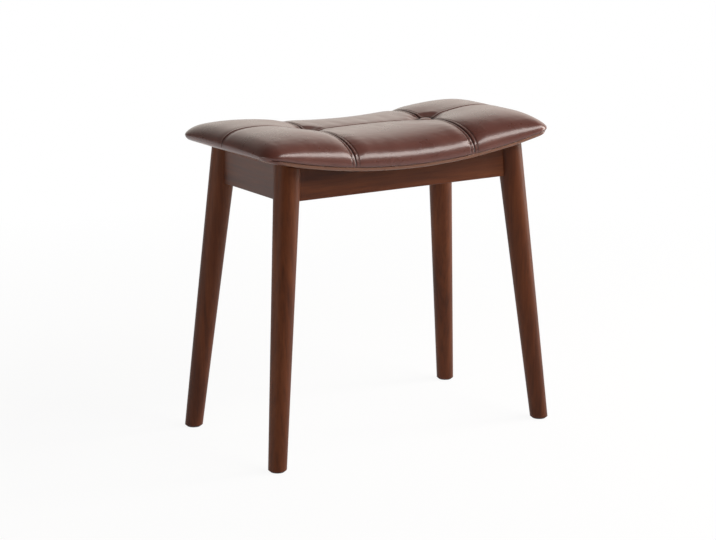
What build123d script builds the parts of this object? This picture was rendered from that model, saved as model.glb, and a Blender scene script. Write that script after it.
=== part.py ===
"""Curved stool: a saddle-shaped, tufted leather cushion on four splayed, tapered round legs.

Millimetres. The origin is on the floor under the middle of the stool, +X runs along the seat,
+Y to the back and +Z up. Nothing on it moves, so every piece belongs to one rigid body.
"""

from build123d import *
from math import hypot, radians, sqrt, tan
import os

# Cushion, over its leather
seat_length = 467.0
seat_depth = 245.0
seat_corner_radius = 24.0
seat_crown = 46.5
seat_curve_radius = 930.0
seat_edge_height = 390.5
end_overhang = 7.5
side_overhang = 10.0
base_corner_radius = 17.0

# Nose of the cushion: the widest line, the turn above it, and how far in the ends reach full height
nose_height = 6.0
nose_turn = 14.0
nose_turn_share = 0.62
nose_middle_shares = (0.25, 0.35)
under_middle_shares = (0.62, 0.45)
end_shoulder = 123.0
end_flat = 0.7

# Seams and tufts of the leather cover
seam_offset = 97.0
seam_depth = 3.0
seam_lip = 5.5
lip_drop = 0.8
lip_middle_share = 0.4
tuft_reach = 26.0
tuft_depth = 9.5
tuft_floor_share = 0.78
tuft_power = 1.5

# How many chords stand for the under, nose, crown and lip arcs of a cross-section
under_chords = 1
nose_chords = 3
crown_chords = 2
lip_chords = 2

# How many flats stand for a round: on a leg, on discs, pins and holes, on a screw, on a cord, and
# how many a hex socket has
leg_sides = 36
round_sides = 20
screw_sides = 12
cord_sides = 6
socket_sides = 6

# Places of the cushion's cross-sections, counted from a cross seam
lip_station_shares = (0, 0.4, 1)
middle_station_shares = (0.85, 0.72, 0.36, 0)
end_station_shares = (0.09, 0.19, 0.38, 0.57, 0.74, 0.85, 0.92, 0.97, 1)

# Layers of the seat
leather_thickness = 1.5
cover_margin = 24.0
board_thickness = 9.0
dust_cover_thickness = 0.6
dust_cover_inset = 10.0
dust_cover_clip = 14.0
soft_gap = 0.3
layer_gap = 0.1

# Legs, on axes that lean inward from the foot
foot_spacing_x = 442.6
foot_spacing_y = 237.8
splay_x = 5.54
splay_y = 4.77
foot_diameter = 25.5
leg_top_diameter = 36.4
leg_length = 412.0

# Rails and their mitred tenons
rail_underside = 359.0
rail_thickness = 20.0
rail_proud = 4.3
rail_round = 1.0
tenon_thickness = 9.0
tenon_height = 28.0
tenon_shoulder = 7.0
tenon_reach = 30.0
mitre_gap = 1.0
joint_gap = 0.1

# Corner blocks
block_leg = 46.0
block_thickness = 20.0
block_clip = 9.0
block_top_gap = 4.0

# Screws that hold the blocks to the rails
screw_diameter = 4.0
screw_head_diameter = 8.0
screw_head_height = 2.6
screw_length = 22.0
screw_tip = 4.0
screw_point_diameter = 1.0
screw_inset = 13.0
screw_seat = 6.0

# Seat bolts, their washers and the threaded inserts in the board
bolt_diameter = 6.0
bolt_length = 40.0
bolt_head_diameter = 11.0
bolt_head_height = 3.6
bolt_socket = 4.0
bolt_socket_depth = 2.2
bolt_hole_diameter = 6.6
bolt_inset = 16.0
washer_diameter = 16.0
washer_thickness = 1.5
insert_diameter = 9.5
insert_length = 7.0

# Tufting: covered buttons, twine and the anchor discs let into the board
button_diameter = 20.0
button_height = 5.0
button_rim = 1.4
button_shoulder = 2.0
button_shoulder_taper = 38.0
button_crown_taper = 68.0
button_gap = 1.6
eye_radius = 2.6
eye_wire = 1.2
twine_diameter = 1.6
twine_hole_diameter = 7.0
cover_hole_diameter = 9.0
anchor_diameter = 20.0
anchor_thickness = 2.4
anchor_recess = 3.2

# Nylon glides under the feet, each with a pin up into the leg
glide_diameter = 20.0
glide_thickness = 1.8
glide_pin_diameter = 2.4
glide_pin_length = 12.0

# How far cutters run past what they cut
overrun = 5.0

# Places that follow from the sizes above
half_length = seat_length / 2
half_depth = seat_depth / 2
base_half_length = half_length - end_overhang
base_half_depth = half_depth - side_overhang
curve_centre = seat_edge_height + seat_curve_radius
frame_drop = dust_cover_thickness + 2 * layer_gap
board_low = leather_thickness + soft_gap
board_high = board_low + board_thickness
board_half_length = base_half_length - board_low
board_half_depth = base_half_depth - board_low
board_corner = base_corner_radius - board_low
foot_x = foot_spacing_x / 2
foot_y = foot_spacing_y / 2
lean_x = tan(radians(splay_x))
lean_y = tan(radians(splay_y))
leg_taper = (leg_top_diameter - foot_diameter) / 2 / leg_length
leg_signs = {"front_left": (-1, -1), "front_right": (1, -1), "back_left": (-1, 1), "back_right": (1, 1)}
side_signs = {"left": -1, "right": 1}
rail_signs = {"front": -1, "back": 1}


def edge_height(x, above=0):
    """Height over the floor of the seat's curve at x, or of the curve that lies above it."""
    return curve_centre - sqrt((seat_curve_radius - above) ** 2 - x**2)


def leg_axis(height):
    """How far a leg's axis stands from the middle of the stool, along X and Y, at a height."""
    return foot_x - height * lean_x, foot_y - height * lean_y


under_x, under_y = leg_axis(rail_underside)
mid_x, mid_y = leg_axis(rail_underside + tenon_shoulder + tenon_height / 2)
long_face = under_y + rail_proud
short_face = under_x + rail_proud
long_middle = long_face - rail_thickness / 2
short_middle = short_face - rail_thickness / 2
inner_x = short_face - rail_thickness
inner_y = long_face - rail_thickness
rail_blank = edge_height(short_face) - rail_underside
block_top = edge_height(inner_x - block_leg) - frame_drop - block_top_gap
block_bottom = block_top - block_thickness
block_middle = block_top - block_thickness / 2
screw_x = inner_x - block_leg + screw_inset
screw_y = inner_y - block_leg + screw_inset
bolt_x = inner_x - bolt_inset
bolt_y = inner_y - bolt_inset
bolt_seat = block_bottom - washer_thickness
tuft_x = seam_offset


def signed(points, sx, sy):
    """Points of an outline drawn in the back right quarter, turned over into another quarter."""
    return [(sx * x, sy * y) for x, y in points]


def saddle_slab(below, above, half_x, half_y, corner=0):
    """Slab that follows the seat's curve between two heights over its lower edge."""
    with BuildPart() as slab:
        with BuildSketch(Plane.XZ):
            with BuildLine():
                low_end = edge_height(half_x, below)
                high_end = edge_height(half_x, above)
                low = ThreePointArc((-half_x, low_end), (0, edge_height(0, below)), (half_x, low_end))
                high = ThreePointArc((-half_x, high_end), (0, edge_height(0, above)), (half_x, high_end))
                Line(low @ 0, high @ 0)
                Line(low @ 1, high @ 1)
            make_face()
        extrude(amount=half_y, both=True)
        if corner:
            fillet(slab.edges().filter_by(Axis.Z), radius=corner)
    return slab.part


def leg_blank(sx, sy, grow=0):
    """Tapered round blank on a leg's axis, from under the floor to above the frame."""
    axis = Plane(origin=(sx * foot_x, sy * foot_y, 0), z_dir=(-sx * lean_x, -sy * lean_y, 1))
    with BuildPart() as blank:
        for height in (-overrun, leg_length + overrun):
            with BuildSketch(axis.offset(height)):
                RegularPolygon(foot_diameter / 2 + leg_taper * height + grow, leg_sides)
        loft(ruled=True)
    return blank.part


def tenon(outline, grow=0):
    """Upright prism on a tenon's outline, its top and bottom moved out by grow."""
    with BuildPart() as prism:
        with BuildSketch(Plane.XY.offset(rail_underside + tenon_shoulder - grow)):
            Polygon(*outline, align=None)
        extrude(amount=tenon_height + 2 * grow)
    return prism.part


def tenon_outline(middle, axis, cross_axis, grow=0, mitred=True):
    """Plan of a tenon as (along, across): mitred at the leg's axis, or square past it."""
    low = middle - tenon_thickness / 2 - grow
    high = middle + tenon_thickness / 2 + grow
    root = axis - tenon_reach
    tip = axis + tenon_thickness / 2
    tip_low = axis + low - cross_axis - mitre_gap if mitred else tip
    tip_high = axis + high - cross_axis - mitre_gap if mitred else tip
    return [(root, low), (tip_low, low), (tip_high, high), (root, high)]


def rail_outline(face, axis, cross_axis):
    """Plan of a rail as (along, across), its inside corners mitred to the next rail."""
    inner = face - rail_thickness
    end = axis - mitre_gap
    tip = end - (cross_axis - inner)
    return [(-tip, inner), (tip, inner), (end, cross_axis), (end, face), (-end, face), (-end, cross_axis)]


def turned(outline):
    """The same outline with its two directions changed over, for the rails along Y."""
    return [(across, along) for along, across in outline]


def roll(distance, reach):
    """Share of a seam's depth left at a distance from it: all in the seam, none past its lip."""
    return max(1 - distance / reach, 0) ** 2


def pull(distance):
    """Share of a tuft's depth left at a distance from its middle."""
    return max(1 - (distance / tuft_reach) ** 2, 0) ** tuft_power


def corner_width(x, length, depth, corner):
    """Half the depth of a rounded rectangle at x, given its half length and half depth."""
    past = min(max(x - length + corner, 0), corner)
    return depth - corner + sqrt(corner**2 - past**2)


def end_rise(x, inset=0):
    """Share of the crown that the cushion has reached at x, counted in from its end."""
    inward = half_length - inset - x + end_flat
    return sqrt(1 - max(1 - inward / end_shoulder, 0) ** 2)


def cushion_section(place, inset=0):
    """Cross-section of the cushion at a place along X, drawn in by inset all round."""
    x = abs(place)
    base = edge_height(x)
    rise = end_rise(x, inset)
    sunk = seam_depth * roll(abs(x - seam_offset), seam_lip)
    tufted = pull(abs(x - tuft_x))
    past = max(x - base_half_length + inset, 0) / (end_overhang + end_flat)

    under = base + inset + (nose_height - inset) * (1 - sqrt(1 - past**2))
    nose = base + nose_height
    crown = nose + (seat_crown - nose_height - inset - sunk) * rise
    turn = nose + (crown - nose) * nose_turn_share
    lip = crown - lip_drop * rise
    depth = seam_depth * rise * (1 - tufted) + (tuft_depth - sunk) * tufted
    lip_share = (1 - lip_middle_share) ** 2 * (1 - tufted) + tuft_floor_share * tufted

    flat_y = corner_width(x, base_half_length - inset, base_half_depth - inset, base_corner_radius - inset)
    nose_y = corner_width(x, half_length - inset, half_depth - inset, seat_corner_radius - inset) - sunk
    turn_y = nose_y - nose_turn
    lip_y = seam_lip + (tuft_reach - seam_lip) * tufted
    under_point = (
        flat_y + (nose_y - flat_y) * under_middle_shares[0],
        under + (nose - under) * under_middle_shares[1],
    )
    nose_point = (nose_y - nose_turn * nose_middle_shares[0], nose + (crown - nose) * nose_middle_shares[1])
    crown_point = ((turn_y + lip_y) / 2, crown)
    lip_point = (lip_y * lip_middle_share, lip - depth * lip_share)
    arcs = [
        (under_chords, (flat_y, under), under_point, (nose_y, nose)),
        (nose_chords, (nose_y, nose), nose_point, (turn_y, turn)),
        (crown_chords, (turn_y, turn), crown_point, (lip_y, lip)),
        (lip_chords, (lip_y, lip), lip_point, (0, lip - depth)),
    ]
    right_half = [(flat_y, under)]
    for chords, *points in arcs:
        with BuildLine():
            arc = ThreePointArc(*points)
        right_half += [(point.X, point.Y) for point in (arc @ (i / chords) for i in range(1, chords + 1))]
    with BuildSketch(Plane.YZ.offset(place)) as section:
        with BuildLine():
            Polyline(*right_half, *signed(right_half[-2::-1], -1, 1), close=True)
        make_face()
    return section.sketch


def cushion(inset=0):
    """The whole cushion drawn in by inset: a middle and two ends that meet at the cross seams."""
    end_length = half_length - inset - seam_offset
    lips = [share * seam_lip for share in lip_station_shares]
    right_half = [share * seam_offset for share in middle_station_shares[::-1]]
    right_half += [seam_offset - step for step in lips[::-1]]
    middle = [-x for x in right_half[:0:-1]] + right_half
    right_end = [seam_offset + step for step in lips]
    right_end += [seam_offset + share * end_length for share in end_station_shares]
    left_end = [-x for x in right_end[::-1]]
    with BuildPart() as body:
        for stations in (left_end, middle, right_end):
            loft(sections=[cushion_section(x, inset) for x in stations], ruled=True)
    return body.part


# Tufts stand on lines through the middle of the seat's curve; heights along a line are counted
# up from the underside of its button, which rests on the leather round the bottom of the tuft
tuft_rise = end_rise(tuft_x)
tuft_lip = nose_height + (seat_crown - nose_height - seam_depth) * tuft_rise - lip_drop * tuft_rise
tuft_floor = tuft_lip - (tuft_depth - seam_depth) * tuft_floor_share
button_seat = edge_height(tuft_x) + tuft_floor + button_gap
button_radius = hypot(tuft_x, curve_centre - button_seat)
board_under = button_radius - (seat_curve_radius - board_low)
anchor_top = board_under + anchor_recess
anchor_bottom = anchor_top - anchor_thickness
twine_turn = (eye_wire + twine_diameter) / 2 + layer_gap


def tuft_planes(sx):
    """Planes at a button's underside: square to its line, and upright along Y and along the curve."""
    origin = (sx * tuft_x, 0, button_seat)
    rise = curve_centre - button_seat
    square = Plane(origin=origin, x_dir=(0, 1, 0), z_dir=(-sx * tuft_x, 0, rise))
    across = Plane(origin=origin, x_dir=(0, 1, 0), z_dir=(rise, 0, sx * tuft_x))
    along = Plane(origin=origin, x_dir=(rise, 0, sx * tuft_x), z_dir=(0, -1, 0))
    return square, across, along


def tuft_hole(diameter, low, high):
    """Two round cutters on the lines of the tufts, between two heights along them."""
    with BuildPart() as cutters:
        for sx in side_signs.values():
            with BuildSketch(tuft_planes(sx)[0].offset(low)):
                RegularPolygon(diameter / 2, round_sides)
            extrude(amount=high - low)
    return cutters.part


def drop_to_frame(blank):
    """A frame blank cut off along the seat's curve, clear of the dust cover."""
    with BuildPart() as cut:
        add(blank)
        add(frame_cutter, mode=Mode.SUBTRACT)
    return cut.part


def wood_screw(seat):
    """Wood screw with its head's underside on the plane seat, driven along the plane's normal."""
    with BuildPart() as screw:
        with BuildSketch(seat):
            RegularPolygon(screw_head_diameter / 2, screw_sides)
        extrude(amount=-screw_head_height)
        with BuildSketch(seat):
            RegularPolygon(screw_diameter / 2, screw_sides)
        extrude(amount=screw_length - screw_tip)
        with BuildSketch(seat.offset(screw_length - screw_tip)):
            RegularPolygon(screw_diameter / 2, screw_sides)
        with BuildSketch(seat.offset(screw_length)):
            RegularPolygon(screw_point_diameter / 2, screw_sides)
        loft(ruled=True)
    return screw.part


def screw_way(seat):
    """Hole that a block screw passes through, with the wider way in for its head."""
    with BuildPart() as way:
        with BuildSketch(seat):
            RegularPolygon(screw_diameter / 2 + layer_gap, screw_sides)
        extrude(amount=screw_length + layer_gap)
        with BuildSketch(seat):
            RegularPolygon(screw_head_diameter / 2 + soft_gap, screw_sides)
        extrude(amount=-block_leg)
    return way.part


def screw_seats(sx, sy):
    """Planes under the two screw heads of a corner block: into the long rail, into the short rail."""
    long_seat = Plane(origin=(sx * screw_x, sy * (inner_y - screw_seat), block_middle), z_dir=(0, sy, 0))
    short_seat = Plane(origin=(sx * (inner_x - screw_seat), sy * screw_y, block_middle), z_dir=(sx, 0, 0))
    return long_seat, short_seat


os.makedirs("parts", exist_ok=True)

frame_cutter = saddle_slab(-frame_drop, rail_blank, half_length, half_depth)
scribes = {name: leg_blank(sx, sy, joint_gap) for name, (sx, sy) in leg_signs.items()}

# Leather cover: six sewn panels drawn down over the foam and turned in under the board
outer_cushion = cushion()
inner_cushion = cushion(leather_thickness)
cover_opening = saddle_slab(
    -overrun,
    board_low + board_thickness / 2,
    board_half_length - cover_margin,
    board_half_depth - cover_margin,
    board_corner,
)
cover_holes = tuft_hole(cover_hole_diameter, board_under + board_thickness, button_height)
with BuildPart() as seat_cover:
    add(outer_cushion)
    add(inner_cushion, mode=Mode.SUBTRACT)
    add(cover_opening, mode=Mode.SUBTRACT)
    add(cover_holes, mode=Mode.SUBTRACT)
seat_cover.part.label = "seat_cover"
export_step(seat_cover.part, "parts/seat_cover.step")

# Foam pad: fills the cover, lies on the board and rolls round its edge
foam_cushion = cushion(leather_thickness + soft_gap)
board_space = saddle_slab(
    -overrun,
    board_high + soft_gap,
    board_half_length + soft_gap,
    board_half_depth + soft_gap,
    board_corner + soft_gap,
)
twine_holes = tuft_hole(twine_hole_diameter, board_under - overrun, button_height)
with BuildPart() as seat_foam:
    add(foam_cushion)
    add(board_space, mode=Mode.SUBTRACT)
    add(twine_holes, mode=Mode.SUBTRACT)
seat_foam.part.label = "seat_foam"
export_step(seat_foam.part, "parts/seat_foam.step")

# Seat board: bent plywood, bored for the twine and the inserts, recessed for the twine's anchors
board_blank = saddle_slab(board_low, board_high, board_half_length, board_half_depth, board_corner)
anchor_recesses = tuft_hole(anchor_diameter + 2 * layer_gap, board_under - overrun, anchor_top)
with BuildPart() as seat_board:
    add(board_blank)
    add([twine_holes, anchor_recesses], mode=Mode.SUBTRACT)
    with BuildSketch(Plane.XY.offset(seat_edge_height)):
        with GridLocations(2 * bolt_x, 2 * bolt_y, 2, 2):
            RegularPolygon(insert_diameter / 2 + layer_gap, round_sides)
    extrude(amount=2 * seat_crown, mode=Mode.SUBTRACT)
seat_board.part.label = "seat_board"
export_step(seat_board.part, "parts/seat_board.step")

# Dust cover: thin cloth under the board and the turned leather, pierced by the seat bolts
sheet_x = base_half_length - dust_cover_inset
sheet_y = base_half_depth - dust_cover_inset
dust_sheet = saddle_slab(-layer_gap - dust_cover_thickness, -layer_gap, sheet_x, sheet_y)
sheet_corner = [(sheet_x, sheet_y - dust_cover_clip), (sheet_x - dust_cover_clip, sheet_y)]
sheet_plan = sheet_corner + signed(sheet_corner[::-1], -1, 1)
with BuildPart() as dust_cover:
    add(dust_sheet)
    with BuildSketch(Plane.XY.offset(rail_underside)):
        Polygon(*sheet_plan, *signed(sheet_plan[::-1], 1, -1), align=None)
    extrude(amount=rail_blank + seat_crown, mode=Mode.INTERSECT)
    with BuildSketch(Plane.XY.offset(block_top)):
        with GridLocations(2 * bolt_x, 2 * bolt_y, 2, 2):
            RegularPolygon(bolt_hole_diameter / 2, round_sides)
    extrude(amount=board_thickness + seat_crown, mode=Mode.SUBTRACT)
dust_cover.part.label = "dust_cover"
export_step(dust_cover.part, "parts/dust_cover.step")

# Tufts: a covered button with a wire eye, a loop of twine and its anchor disc, on each side
button_tiers = [
    (button_rim, 0),
    (button_shoulder, button_shoulder_taper),
    (button_height - button_rim - button_shoulder, button_crown_taper),
]
for name, sx in side_signs.items():
    square, across, along = tuft_planes(sx)
    with BuildPart() as button:
        height, radius = 0, button_diameter / 2
        for rise, taper in button_tiers:
            with BuildSketch(square.offset(height)):
                RegularPolygon(radius, round_sides)
            extrude(amount=rise, taper=taper)
            height, radius = height + rise, radius - rise * tan(radians(taper))
        with BuildLine(along) as eye:
            ThreePointArc((-eye_radius, 0), (0, -eye_radius), (eye_radius, 0))
        with BuildSketch(Plane(origin=eye.line @ 0, x_dir=square.x_dir, z_dir=eye.line % 0)):
            RegularPolygon(eye_wire / 2, cord_sides)
        sweep(path=eye.line)
    button.part.label = f"tuft_button_{name}"
    export_step(button.part, f"parts/tuft_button_{name}.step")

    with BuildPart() as twine:
        with BuildLine(across) as loop:
            Line((-twine_turn, anchor_bottom), (-twine_turn, -eye_radius))
            ThreePointArc(
                (-twine_turn, -eye_radius),
                (0, twine_turn - eye_radius),
                (twine_turn, -eye_radius),
            )
            Line((twine_turn, -eye_radius), (twine_turn, anchor_bottom))
            ThreePointArc(
                (twine_turn, anchor_bottom),
                (0, anchor_bottom - twine_turn),
                (-twine_turn, anchor_bottom),
            )
        with BuildSketch(square.offset(anchor_bottom)):
            with Locations((-twine_turn, 0)):
                RegularPolygon(twine_diameter / 2, cord_sides)
        sweep(path=loop.wire())
    twine.part.label = f"tufting_twine_{name}"
    export_step(twine.part, f"parts/tufting_twine_{name}.step")

    with BuildPart() as anchor:
        with BuildSketch(square.offset(anchor_bottom)):
            RegularPolygon(anchor_diameter / 2, round_sides)
            with GridLocations(2 * twine_turn, 0, 2, 1):
                RegularPolygon(twine_diameter / 2 + layer_gap, cord_sides, mode=Mode.SUBTRACT)
        extrude(amount=anchor_thickness)
    anchor.part.label = f"twine_anchor_{name}"
    export_step(anchor.part, f"parts/twine_anchor_{name}.step")

# Legs: splayed round tapers, level at the foot, on the seat's curve at the top, and mortised
pin_x, pin_y = leg_axis(glide_thickness)
for name, (sx, sy) in leg_signs.items():
    blank = drop_to_frame(leg_blank(sx, sy))
    long_plan = tenon_outline(long_middle, mid_x, mid_y, joint_gap, False)
    short_plan = turned(tenon_outline(short_middle, mid_y, mid_x, joint_gap, False))
    mortises = [tenon(signed(plan, sx, sy), joint_gap) for plan in (long_plan, short_plan)]
    with BuildPart() as leg:
        add(blank)
        split(bisect_by=Plane.XY.offset(glide_thickness), keep=Keep.TOP)
        add(mortises, mode=Mode.SUBTRACT)
        with BuildSketch():
            with Locations((sx * pin_x, sy * pin_y)):
                RegularPolygon(glide_pin_diameter / 2 + layer_gap, screw_sides)
        extrude(amount=glide_thickness + glide_pin_length + layer_gap, mode=Mode.SUBTRACT)
    leg.part.label = f"leg_{name}"
    export_step(leg.part, f"parts/leg_{name}.step")

# Glides: nylon discs under the feet, pinned up into the legs
for name, (sx, sy) in leg_signs.items():
    with BuildPart() as glide:
        with BuildSketch():
            with Locations((sx * pin_x, sy * pin_y)):
                RegularPolygon(glide_diameter / 2, round_sides)
        extrude(amount=glide_thickness)
        with BuildSketch(Plane.XY.offset(glide_thickness)):
            with Locations((sx * pin_x, sy * pin_y)):
                RegularPolygon(glide_pin_diameter / 2, screw_sides)
        extrude(amount=glide_pin_length)
    glide.part.label = f"foot_glide_{name}"
    export_step(glide.part, f"parts/foot_glide_{name}.step")

# Front and back rails: shoulders scribed to the legs, mitred tenons, top edges on the seat's curve
for name, sy in rail_signs.items():
    with BuildPart() as blank:
        with BuildSketch(Plane.XY.offset(rail_underside)):
            Polygon(*signed(rail_outline(long_face, mid_x, mid_y), 1, sy), align=None)
        extrude(amount=rail_blank)
        fillet(blank.edges().filter_by(Axis.X).group_by(Axis.Z)[0], radius=rail_round)
    shaped = drop_to_frame(blank.part)
    tenons = [tenon(signed(tenon_outline(long_middle, mid_x, mid_y), sx, sy)) for sx in (-1, 1)]
    ways = [screw_way(screw_seats(sx, sy)[0]) for sx in (-1, 1)]
    with BuildPart() as rail:
        add(shaped)
        add([scribes[f"{name}_{side}"] for side in side_signs], mode=Mode.SUBTRACT)
        add(tenons)
        add(ways, mode=Mode.SUBTRACT)
    rail.part.label = f"{name}_rail"
    export_step(rail.part, f"parts/{name}_rail.step")

# Left and right rails: the same between the legs at each end, their top edges tilted by the curve
for name, sx in side_signs.items():
    with BuildPart() as blank:
        with BuildSketch(Plane.XY.offset(rail_underside)):
            Polygon(*signed(turned(rail_outline(short_face, mid_y, mid_x)), sx, 1), align=None)
        extrude(amount=rail_blank)
        fillet(blank.edges().filter_by(Axis.Y).group_by(Axis.Z)[0], radius=rail_round)
    shaped = drop_to_frame(blank.part)
    plan = turned(tenon_outline(short_middle, mid_y, mid_x))
    tenons = [tenon(signed(plan, sx, sy)) for sy in (-1, 1)]
    ways = [screw_way(screw_seats(sx, sy)[1]) for sy in (-1, 1)]
    with BuildPart() as rail:
        add(shaped)
        add([scribes[f"{end}_{name}"] for end in rail_signs], mode=Mode.SUBTRACT)
        add(tenons)
        add(ways, mode=Mode.SUBTRACT)
    rail.part.label = f"{name}_rail"
    export_step(rail.part, f"parts/{name}_rail.step")

# Corner blocks: clipped triangles between the rails, bored for the seat bolt and two screws
block_plan = [
    (inner_x - joint_gap, inner_y - block_clip),
    (inner_x - joint_gap, inner_y - block_leg),
    (inner_x - block_leg, inner_y - joint_gap),
    (inner_x - block_clip, inner_y - joint_gap),
]
for name, (sx, sy) in leg_signs.items():
    ways = [screw_way(seat) for seat in screw_seats(sx, sy)]
    with BuildPart() as block:
        with BuildSketch(Plane.XY.offset(block_bottom)):
            Polygon(*signed(block_plan, sx, sy), align=None)
            with Locations((sx * bolt_x, sy * bolt_y)):
                RegularPolygon(bolt_hole_diameter / 2, round_sides, mode=Mode.SUBTRACT)
        extrude(amount=block_thickness)
        add(ways, mode=Mode.SUBTRACT)
    block.part.label = f"corner_block_{name}"
    export_step(block.part, f"parts/corner_block_{name}.step")

# Block screws: eight alike, two in each corner block
screws = [wood_screw(seat) for signs in leg_signs.values() for seat in screw_seats(*signs)]
with BuildPart() as corner_block_screws:
    add(screws)
corner_block_screws.part.label = "corner_block_screws"
export_step(corner_block_screws.part, "parts/corner_block_screws.step")

# Seat bolts: four socket-head bolts, up through the washers and blocks into the board
with BuildPart() as seat_bolts:
    with BuildSketch(Plane.XY.offset(bolt_seat)):
        with GridLocations(2 * bolt_x, 2 * bolt_y, 2, 2):
            RegularPolygon(bolt_head_diameter / 2, round_sides)
    extrude(amount=-bolt_head_height)
    with BuildSketch(Plane.XY.offset(bolt_seat)):
        with GridLocations(2 * bolt_x, 2 * bolt_y, 2, 2):
            RegularPolygon(bolt_diameter / 2, round_sides)
    extrude(amount=bolt_length)
    with BuildSketch(Plane.XY.offset(bolt_seat - bolt_head_height)):
        with GridLocations(2 * bolt_x, 2 * bolt_y, 2, 2):
            RegularPolygon(bolt_socket / 2, socket_sides, major_radius=False)
    extrude(amount=bolt_socket_depth, mode=Mode.SUBTRACT)
seat_bolts.part.label = "seat_bolts"
export_step(seat_bolts.part, "parts/seat_bolts.step")

# Washers: one under each bolt head
with BuildPart() as seat_bolt_washers:
    with BuildSketch(Plane.XY.offset(bolt_seat)):
        with GridLocations(2 * bolt_x, 2 * bolt_y, 2, 2):
            RegularPolygon(washer_diameter / 2, round_sides)
            RegularPolygon(bolt_hole_diameter / 2, round_sides, mode=Mode.SUBTRACT)
    extrude(amount=washer_thickness)
seat_bolt_washers.part.label = "seat_bolt_washers"
export_step(seat_bolt_washers.part, "parts/seat_bolt_washers.step")

# Threaded inserts: brass sleeves let into the board over the bolts
insert_middle = edge_height(bolt_x, board_low + board_thickness / 2)
with BuildPart() as threaded_inserts:
    with BuildSketch(Plane.XY.offset(insert_middle - insert_length / 2)):
        with GridLocations(2 * bolt_x, 2 * bolt_y, 2, 2):
            RegularPolygon(insert_diameter / 2, round_sides)
            RegularPolygon(bolt_diameter / 2 + layer_gap, round_sides, mode=Mode.SUBTRACT)
    extrude(amount=insert_length)
threaded_inserts.part.label = "threaded_inserts"
export_step(threaded_inserts.part, "parts/threaded_inserts.step")
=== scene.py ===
"""Curved stool, dressed: oxblood leather over a saddle-curved pad, on splayed walnut legs."""

import math

import bmesh
import bpy
import numpy as np
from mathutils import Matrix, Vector


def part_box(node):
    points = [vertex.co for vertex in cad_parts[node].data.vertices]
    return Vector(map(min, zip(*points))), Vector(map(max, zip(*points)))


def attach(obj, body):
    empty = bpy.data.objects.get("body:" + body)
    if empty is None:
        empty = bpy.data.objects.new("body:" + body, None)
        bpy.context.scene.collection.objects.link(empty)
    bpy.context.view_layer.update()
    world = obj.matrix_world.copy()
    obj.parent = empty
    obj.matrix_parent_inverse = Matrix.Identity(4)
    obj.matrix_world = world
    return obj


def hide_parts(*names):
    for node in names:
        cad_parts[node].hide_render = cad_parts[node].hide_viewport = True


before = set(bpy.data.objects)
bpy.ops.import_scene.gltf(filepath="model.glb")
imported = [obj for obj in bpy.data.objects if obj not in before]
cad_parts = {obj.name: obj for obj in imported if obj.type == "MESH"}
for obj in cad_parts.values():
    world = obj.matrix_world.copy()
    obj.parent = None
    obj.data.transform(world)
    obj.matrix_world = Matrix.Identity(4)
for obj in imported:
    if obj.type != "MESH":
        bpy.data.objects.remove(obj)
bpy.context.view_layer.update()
scene = bpy.context.scene
scene.view_settings.view_transform = "Standard"


# The view: the stool stands a little more than two metres from the lens, seen from its front
# left and from just above the seat. The lens is long, so the legs stay nearly parallel.
eye = Vector((-1.4862, -2.2865, 0.8734))
sight = Vector((0.5261, 0.8184, -0.2312))
lens_millimetres = 98.93

view = bpy.data.objects.new("view", bpy.data.cameras.new("view"))
view.data.lens = lens_millimetres
view.location = eye
view.rotation_euler = sight.to_track_quat("-Z", "Y").to_euler()
scene.collection.objects.link(view)
scene.camera = view


# Legs: four round tapered turnings in dark-stained walnut, satin lacquered. Each leans out along
# both directions, is cut off level at the foot and shaped to the seat's curve at the top, and is
# mortised for the rails, which are glued in.
curve_radius = 0.930
foot_diameter = 0.0255
top_diameter = 0.0364
leg_length = 0.412
foot_spacing = (0.4426, 0.2378)
splay = (math.radians(5.54), math.radians(4.77))
foot_edge = 0.0008
frame_drop = 0.0008
leg_facets = 96
glide_pin_length = 0.012
walnut_colours = ((0.062, 0.0145, 0.0042), (0.114, 0.0300, 0.0085), (0.172, 0.052, 0.017))
walnut_roughness = (0.42, 0.56)
walnut_gloss = {"coat_weight": 0.06, "coat_roughness": 0.3, "specular_ior_level": 0.16}

seat_low, seat_high = (Vector(corner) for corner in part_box("seat_cover"))
glide_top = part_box("foot_glide_front_left")[1][2] - glide_pin_length


def edge_height(x, above=0.0):
    """Height over the floor of the seat's curve at x, or of the curve that lies above it."""
    return seat_low.z + curve_radius - np.sqrt((curve_radius - above) ** 2 - np.square(x))


def shader_of(material):
    return material.node_tree.nodes["Principled BSDF"]


def material_named(name, roughness, **constants):
    """New material; a constant such as coat_weight is set on the shader's own socket."""
    material = bpy.data.materials.new(name)
    material.use_nodes = True
    inputs = shader_of(material).inputs
    inputs["Roughness"].default_value = roughness
    for socket, value in constants.items():
        words = socket.replace("_", " ").title().replace("Ior", "IOR")
        inputs[words].default_value = value
    return material


def connect(tree, value, socket):
    """Links another node's output to a socket, or sets the socket to a plain value."""
    if isinstance(value, bpy.types.NodeSocket):
        tree.links.new(value, socket)
    else:
        socket.default_value = value


def new_node(tree, kind, settings=None, **inputs):
    """New node in a tree, with its settings and the values or links of its inputs."""
    node = tree.nodes.new(kind)
    for name, value in (settings or {}).items():
        setattr(node, name, value)
    for name, value in inputs.items():
        connect(tree, value, node.inputs[name.replace("_", " ")])
    return node


def add_node(material, kind, settings=None, **inputs):
    """New node in a material or a world."""
    return new_node(material.node_tree, kind, settings, **inputs)


def object_place(material, scale=(1, 1, 1)):
    """The place on the object, stretched by scale."""
    place = add_node(material, "ShaderNodeTexCoord").outputs["Object"]
    return add_node(material, "ShaderNodeMapping", Vector=place, Scale=scale).outputs["Vector"]


def noise(material, place, scale, detail, **more):
    """Cloudy pattern from 0 to 1."""
    node = add_node(material, "ShaderNodeTexNoise", Vector=place, Scale=scale, Detail=detail, **more)
    return node.outputs["Fac"]


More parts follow.
